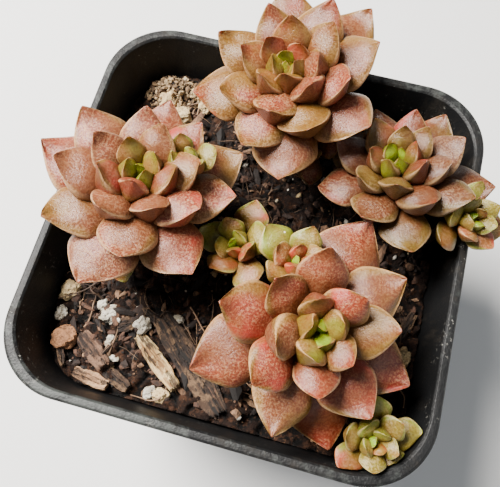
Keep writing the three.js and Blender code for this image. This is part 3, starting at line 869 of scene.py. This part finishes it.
def add_leaf(bm, plant, index, sides, rings):
    """One leaf of the plant as a closed body with its own leaf_map and leaf_tint."""
    leaf_map = bm.verts.layers.float_color["leaf_map"]
    leaf_tint = bm.verts.layers.float_color["leaf_tint"]
    age = index / (plant["leaves"] - 1)
    length = plant["reach"] * MM * blend_up(LEAF_NEWEST, 1, age ** LENGTHENING) * buds.uniform(0.97, 1.03)
    turn = math.radians(plant["start"]) + plant["hand"] * index * GOLDEN_TURN + buds.uniform(-0.05, 0.05)
    opened = blend_up(plant["upright"], plant["spread"], age ** OPENING)
    rise = math.radians(opened) + buds.uniform(-0.06, 0.06)
    young = "heart" not in plant
    width = length * blend_up(*(PUP_LEAF_WIDTH if young else LEAF_WIDTH), age) * buds.uniform(0.94, 1.06)
    thick = length * (PUP_LEAF_PLUMP if young else LEAF_PLUMP) * buds.uniform(0.92, 1.08)
    radius = PUP_STEM_RADIUS if young else STEM_RADIUS
    seat = Vector((0, radius * blend_up(*LEAF_SEAT, age), -leaf_foot(plant, age)))
    place = (
        plant_frame(plant)
        @ Matrix.Rotation(turn - math.pi / 2, 4, "Z")
        @ Matrix.Translation(seat)
        @ Matrix.Rotation(rise, 4, "X")
    )
    shade = [buds.random() for _ in range(3)]
    shift = Vector((buds.uniform(0, 90), index, 0))
    sway = buds.uniform(-0.09, 0.09)
    ridge = buds.uniform(-0.3, 0.3)
    roll = buds.uniform(-0.16, 0.16)
    dish = buds.uniform(0.0, 0.04)
    made = bmesh.ops.create_uvsphere(bm, u_segments=sides, v_segments=rings, radius=1)["verts"]
    for vert in made:
        sphere = vert.co.copy()
        even = 0.5 + math.asin(max(-1, min(1, sphere.z))) / math.pi
        t = blend_up(even, (1 + sphere.z) / 2, 0.3)
        girth = math.hypot(sphere.x, sphere.y)
        across = sphere.x / girth if girth > 1e-6 else 0
        up = -sphere.y / girth if girth > 1e-6 else 0
        closing = (t / 0.05) ** 0.5 if t < 0.05 else 1
        half = width / 2 * blade(t) * closing
        half += 0.3 * MM * math.exp(-(((1 - t) / 0.025) ** 2)) * girth
        tilted = across * (1 - ridge * (1 - abs(across)))
        depth = thick * keel(t) * closing
        z = depth * leaf_section(tilted, up) + LEAF_CUP * (1 - age) * length * t * t
        z += 0.05 * length * smooth_step(t, 0.8, 1.0)
        if up > 0:
            hollow = dish * width * (1 - across * across) * smooth_step(t, 0.05, 0.35)
            z -= hollow * (1 - smooth_step(t, 0.5, 1))
        swell = noise.noise(Vector((across, t * 2.2, up)) * 1.1 + shift)
        dent = noise.noise(Vector((across, t * 2.2, up)) * 2.6 + shift)
        x = half * across + sway * length * t * t + roll * z + 0.025 * width * swell
        z += (0.04 * swell + 0.016 * dent) * width * closing
        vert.co = clear_of_wall(place @ Vector((x, t * length, z)), plant.get("over_lip"))
        vert[leaf_map] = (t, abs(across), age, 0.5 + 0.5 * up)
        vert[leaf_tint] = (*shade, 1)


def leaf_bunch(plant, indexes, sides=20, rings=18):
    bm = bmesh.new()
    bm.verts.layers.float_color.new("leaf_map")
    bm.verts.layers.float_color.new("leaf_tint")
    for index in indexes:
        add_leaf(bm, plant, index, sides, rings)
    bmesh.ops.recalc_face_normals(bm, faces=bm.faces)
    return bm


def leaf_colour_group():
    """Colours of a frosted leaf from its own map: green heart, body, blush, painted shade at the foot and
    underside, bloom, a partly painted highlight along the margins, and pits.
    """
    group = bpy.data.node_groups.new("leaf_colours", "ShaderNodeTree")
    for socket in ("Heart", "Body", "Blush", "Green", "Deep", "Bloom"):
        group.interface.new_socket(socket, in_out="INPUT", socket_type="NodeSocketColor")
    for socket in ("Rosiness", "Greenness", "Frosting"):
        group.interface.new_socket(socket, in_out="INPUT", socket_type="NodeSocketFloat")
    for socket, kind in (("Colour", "Color"), ("Height", "Float"), ("Frost", "Float")):
        group.interface.new_socket(socket, in_out="OUTPUT", socket_type=f"NodeSocket{kind}")
    given = group.nodes.new("NodeGroupInput").outputs
    result = group.nodes.new("NodeGroupOutput")
    place = wire(group, "ShaderNodeTexCoord").outputs["Object"]
    mapped = wire(group, "ShaderNodeAttribute", attribute_name="leaf_map")
    parts = wire(group, "ShaderNodeSeparateColor", {0: mapped.outputs["Color"]}).outputs
    along, margin, age = parts[0], parts[1], parts[2]
    upper = mapped.outputs["Alpha"]
    tinted = wire(group, "ShaderNodeAttribute", attribute_name="leaf_tint")
    chance = wire(group, "ShaderNodeSeparateColor", {0: tinted.outputs["Color"]}).outputs

    def times(first, second):
        return maths(group, "MULTIPLY", first, second)

    def added(first, second):
        return maths(group, "ADD", first, second)

    def around(value, reach):
        """A noise or chance value as a push of up to reach/2 either way."""
        return times(maths(group, "SUBTRACT", value, 0.5), reach)

    clouds = grainy(group, place, 130, 2, 0.5)
    mottle = grainy(group, place, 420, 4, 0.6)
    speckle = grainy(group, place, 2300, 3, 0.8)
    grown = added(age, around(clouds, 0.25))
    colour = mixed(group, ranged(group, grown, 0.06, 0.3), given["Heart"], given["Body"])
    rosy = added(times(given["Rosiness"], along), around(clouds, 2.4))
    rosy = added(rosy, around(chance[0], 1.1))
    rosy = times(ranged(group, rosy, 0.2, 1.1), ranged(group, age, 0.05, 0.2))
    colour = mixed(group, rosy, colour, given["Blush"])
    edge_green = times(ranged(group, margin, 0.5, 1.0), given["Greenness"])
    green = added(edge_green, times(along, 0.35))
    green = added(green, added(around(clouds, -2.4), around(chance[1], 1.5)))
    colour = mixed(group, ranged(group, green, 0.45, 1.3, 0, 0.85), colour, given["Green"])
    # Painted shade: the foot of each leaf, crowded round the stem, is painted towards the deep colour.
    foot = ranged(group, along, 0.15, 0.8, 0.92, 0)
    colour = mixed(group, foot, colour, given["Deep"])
    # Painted shade: the underside of each leaf is painted darker.
    keeled = ranged(group, upper, 0.05, 0.5, 0.3, 0)
    colour = mixed(group, keeled, colour, given["Deep"])
    dappled = times(ranged(group, mottle, 0.4, 0.6, 0.2, 0), ranged(group, age, 0.05, 0.3))
    colour = mixed(group, dappled, colour, given["Deep"])
    frost = ranged(group, speckle, 0.48, 0.6)
    frost = times(frost, ranged(group, clouds, 0.35, 0.65, 0.35, 1))
    frost = times(frost, ranged(group, age, 0.05, 0.5, 0.25, 1))
    frost = times(frost, ranged(group, along, 0.15, 0.8, 0.35, 1))
    frost = times(frost, ranged(group, chance[2], 0.0, 1.0, 0.45, 1.2))
    colour = mixed(group, times(frost, given["Frosting"]), colour, given["Bloom"])
    # The margins are painted in the bloom colour: partly bloom, partly a painted highlight along the edges.
    rim = times(ranged(group, margin, 0.88, 1), ranged(group, along, 0.3, 0.8, 0.2, 1.3))
    colour = mixed(group, times(rim, mottle), colour, given["Bloom"])
    pits = ranged(group, speckle, 0.38, 0.48, 0.45, 0)
    colour = mixed(group, pits, colour, given["Deep"])
    scarlet = times(ranged(group, clouds, 0.54, 0.66), ranged(group, chance[0], 0.5, 0.8, 0, 0.7))
    scarlet = times(scarlet, ranged(group, margin, 0.2, 0.8))
    colour = mixed(group, scarlet, colour, (0.36, 0.03, 0.02, 1))
    dots = wire(group, "ShaderNodeTexVoronoi", {"Vector": place, "Scale": 300, "Randomness": 1.0})
    dust = ranged(group, dots.outputs["Distance"], 0.04, 0.09, 1, 0)
    chosen = wire(group, "ShaderNodeSeparateColor", {0: dots.outputs["Color"]}).outputs[0]
    dust = times(dust, ranged(group, chosen, 0.93, 0.95))
    colour = mixed(group, dust, colour, (0.8, 0.72, 0.62, 1))
    mucro = ranged(group, along, 0.965, 0.992, 0, 0.8)
    colour = mixed(group, mucro, colour, (0.25, 0.08, 0.035, 1))
    group.links.new(colour, result.inputs["Colour"])
    height = added(times(mottle, 0.6), times(speckle, 0.7))
    group.links.new(height, result.inputs["Height"])
    group.links.new(frost, result.inputs["Frost"])
    return group


leaf_colours = leaf_colour_group()


def leaf_skin(name, heart, body, blush, green, deep, bloom, rosiness, greenness, frosting):
    material, tree, shader, _ = new_material(name, 0.45)
    made = tree.nodes.new("ShaderNodeGroup")
    made.node_tree = leaf_colours
    colours = {"Heart": heart, "Body": body, "Blush": blush, "Green": green, "Deep": deep, "Bloom": bloom}
    for key, value in colours.items():
        made.inputs[key].default_value = (*value, 1)
    made.inputs["Rosiness"].default_value = rosiness
    made.inputs["Greenness"].default_value = greenness
    made.inputs["Frosting"].default_value = frosting
    tree.links.new(made.outputs["Colour"], shader.inputs["Base Color"])
    tree.links.new(ranged(tree, made.outputs["Frost"], 0, 1, 0.3, 0.52), shader.inputs["Roughness"])
    relief(tree, shader, made.outputs["Height"], 0.22 * MM, 0.9)
    shader.inputs["Subsurface Weight"].default_value = 0.1
    shader.inputs["Subsurface Radius"].default_value = (1.0, 0.35, 0.15)
    shader.inputs["Subsurface Scale"].default_value = 1.0 * MM
    shader.inputs["Specular IOR Level"].default_value = 0.5
    return material


SKINS = {
    "back": leaf_skin(
        "salmon_leaf", (0.2, 0.26, 0.006), (0.165, 0.052, 0.018), (0.215, 0.036, 0.016), (0.185, 0.1, 0.014),
        (0.085, 0.011, 0.002), (0.54, 0.31, 0.145), 0.8, 1.0, 0.42,
    ),
    "left": leaf_skin(
        "peach_leaf", (0.2, 0.25, 0.008), (0.19, 0.065, 0.025), (0.235, 0.046, 0.024), (0.2, 0.11, 0.019),
        (0.09, 0.015, 0.004), (0.58, 0.35, 0.18), 0.7, 0.9, 0.5,
    ),
    "right": leaf_skin(
        "dusky_leaf", (0.2, 0.28, 0.006), (0.11, 0.037, 0.013), (0.135, 0.028, 0.011), (0.12, 0.076, 0.011),
        (0.05, 0.009, 0.002), (0.38, 0.24, 0.12), 0.6, 1.15, 0.4,
    ),
    "front": leaf_skin(
        "coral_leaf", (0.17, 0.27, 0.006), (0.18, 0.055, 0.02), (0.24, 0.036, 0.016), (0.19, 0.108, 0.016),
        (0.08, 0.012, 0.003), (0.54, 0.32, 0.145), 0.75, 1.0, 0.42,
    ),
    "pups": leaf_skin(
        "young_leaf", (0.24, 0.46, 0.01), (0.21, 0.17, 0.018), (0.24, 0.07, 0.02), (0.19, 0.25, 0.018),
        (0.11, 0.055, 0.005), (0.55, 0.4, 0.2), 0.6, 1.0, 0.35,
    ),
}


def plump(piece):
    """One smoothing subdivision."""
    soft = piece.modifiers.new("plump", "SUBSURF")
    soft.levels = soft.render_levels = 1


for name in ("back", "left", "right", "front"):
    plant = PLANTS[name]
    shed = plant.get("shed", ())
    heart = finished(f"{name}_heart_leaves", leaf_bunch(plant, range(plant["heart"])))
    heart.data.materials.append(SKINS[name])
    plump(heart)
    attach(heart, "root")
    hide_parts(f"{name}_heart")
    for index in range(plant["heart"], plant["leaves"]):
        if index in shed:
            continue
        leaf = finished(f"{name}_grown_leaf_{index + 1}", leaf_bunch(plant, [index], 28, 26))
        leaf.data.materials.append(SKINS[name])
        plump(leaf)
        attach(leaf, "root")
        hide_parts(f"{name}_leaf_{index + 1}")

# ---- Pups ------------------------------------------------------------------------------------------
# Young offsets round the feet of the rosettes, each a tight greener rosette on a short stem.

for name, plant in PLANTS.items():
    if "heart" in plant:
        continue
    stalk = finished(f"{name}_stalk", stem_tube(name, plant, PUP_STEM_RADIUS))
    stalk.data.materials.append(bark_of_stems)
    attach(stalk, "root")
    leaves = finished(f"{name}_leaves", leaf_bunch(plant, range(plant["leaves"]), 18, 16))
    leaves.data.materials.append(SKINS[plant.get("skin", "pups")])
    plump(leaves)
    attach(leaves, "root")
    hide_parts(name)

# ---- Floor, light and camera -------------------------------------------------------------------------
# A pale floor under a large soft lamp at the left, with a weaker one at the right.


def studio_floor():
    bm = bmesh.new()
    bmesh.ops.create_grid(bm, x_segments=2, y_segments=2, size=2)
    ground = finished("studio_floor", bm)
    material, tree, shader, place = new_material("studio_floor", 0.9)
    shade = ranged(tree, grainy(tree, place, 3, 3, 0.5), 0.3, 0.7)
    colour = mixed(tree, shade, (0.8, 0.8, 0.79, 1), (0.84, 0.84, 0.83, 1))
    tree.links.new(colour, shader.inputs["Base Color"])
    ground.data.materials.append(material)


def lamp(name, place, aim, size, power, colour):
    light = bpy.data.lights.new(name, "AREA")
    light.shape = "DISK"
    light.size = size
    light.energy = power
    light.color = colour
    made = bpy.data.objects.new(name, light)
    made.location = place
    made.rotation_euler = (Vector(aim) - Vector(place)).to_track_quat("-Z", "Y").to_euler()
    bpy.context.scene.collection.objects.link(made)


def soft_sky(strength):
    world = bpy.data.worlds.new("soft_sky")
    world.use_nodes = True
    sky = world.node_tree.nodes["Background"]
    sky.inputs["Color"].default_value = (0.9, 0.95, 1.0, 1)
    sky.inputs["Strength"].default_value = strength
    bpy.context.scene.world = world


studio_floor()
lamp("key_lamp", (-0.3, 0.08, 0.55), (0, 0, RIM_Z), 0.3, 17, (1.0, 0.965, 0.92))
lamp("fill_lamp", (0.5, -0.2, 0.5), (0, 0, RIM_Z), 0.5, 0.9, (0.93, 0.96, 1.0))
soft_sky(0.2)

eye = bpy.data.cameras.new("camera")
eye.lens = 43.46
eye.sensor_width = 36
eye.clip_start = 0.01
camera = bpy.data.objects.new("camera", eye)
view = (
    Matrix.Rotation(math.radians(16.1), 4, "Z")
    @ Matrix.Rotation(math.radians(18.75), 4, "X")
    @ Matrix.Rotation(math.radians(-1.03), 4, "Z")
)
camera.matrix_world = Matrix.Translation((11.2 * MM, -43.4 * MM, RIM_Z + 122.2 * MM)) @ view
bpy.context.scene.collection.objects.link(camera)
bpy.context.scene.camera = camera
